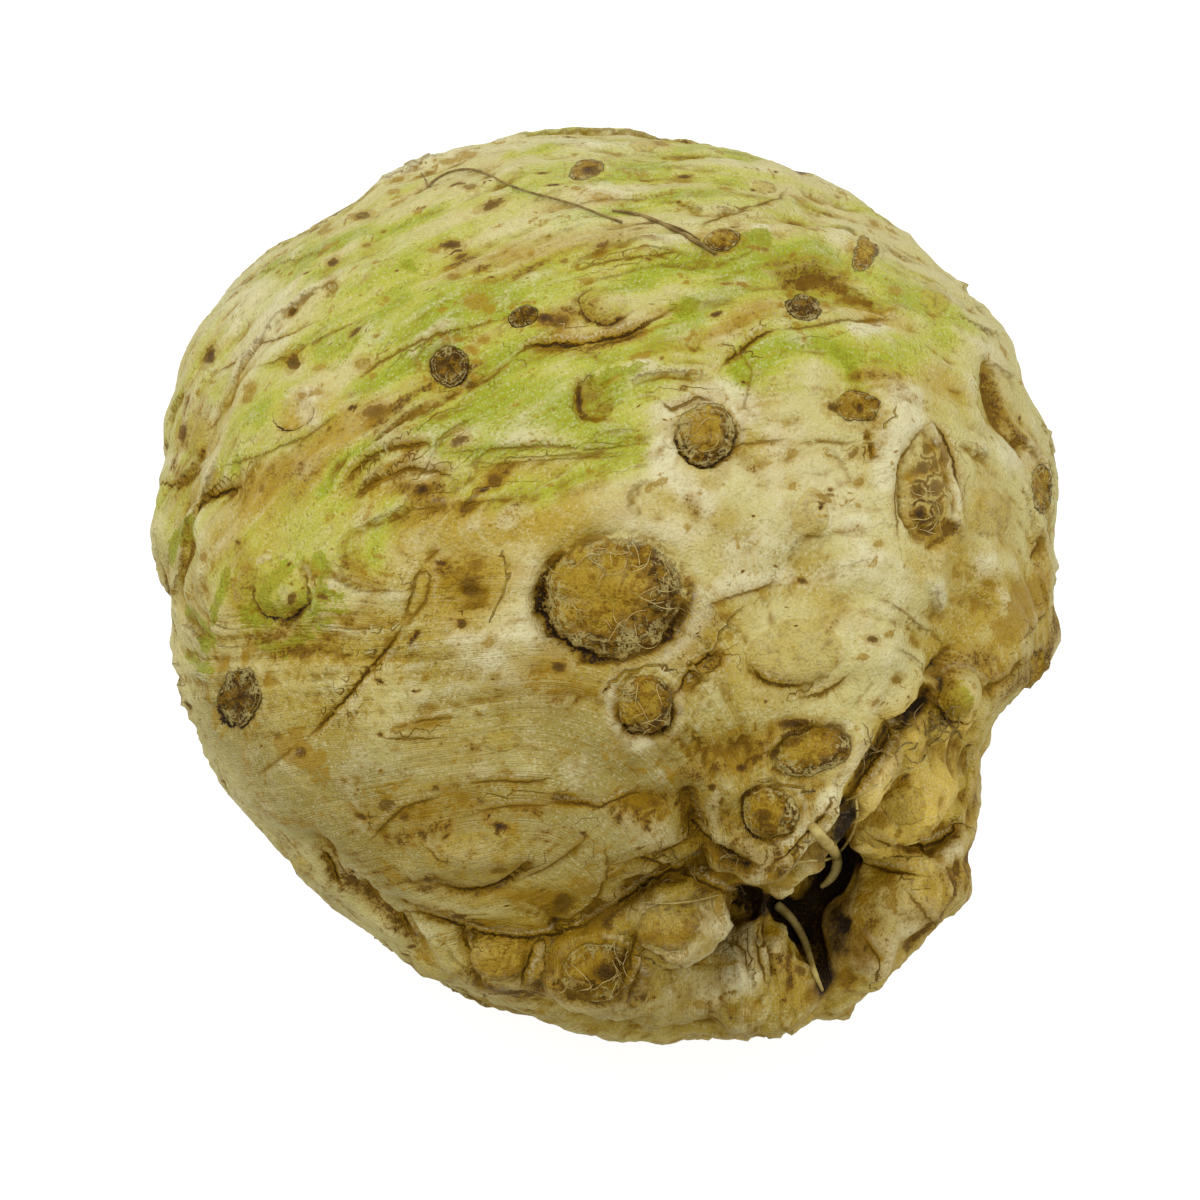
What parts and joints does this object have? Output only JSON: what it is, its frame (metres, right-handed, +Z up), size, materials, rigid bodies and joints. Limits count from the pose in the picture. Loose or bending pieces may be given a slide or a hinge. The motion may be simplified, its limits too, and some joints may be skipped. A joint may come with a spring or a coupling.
{
  "type": "celeriac root",
  "caption": "Whole raw celeriac: a knobbly round root with scarred skin, lobed root end with a dark hollow, and a trimmed leaf crown, lying on its side on a small flat spot.",
  "frame": {"origin": "centre of the small flat spot that the root rests on", "axes": "+Z up; -Y towards the side with the large round scar; +X to the right as seen from there, towards the lobed root end; the trimmed leaf crown is up, back and left"},
  "size_m": [0.1178, 0.1165, 0.1119],
  "materials": {
    "root_skin": "waxy root skin, half rough"
  },
  "bodies": {
    "root": {"celeriac_root": "root_skin"}
  },
  "joints": []
}
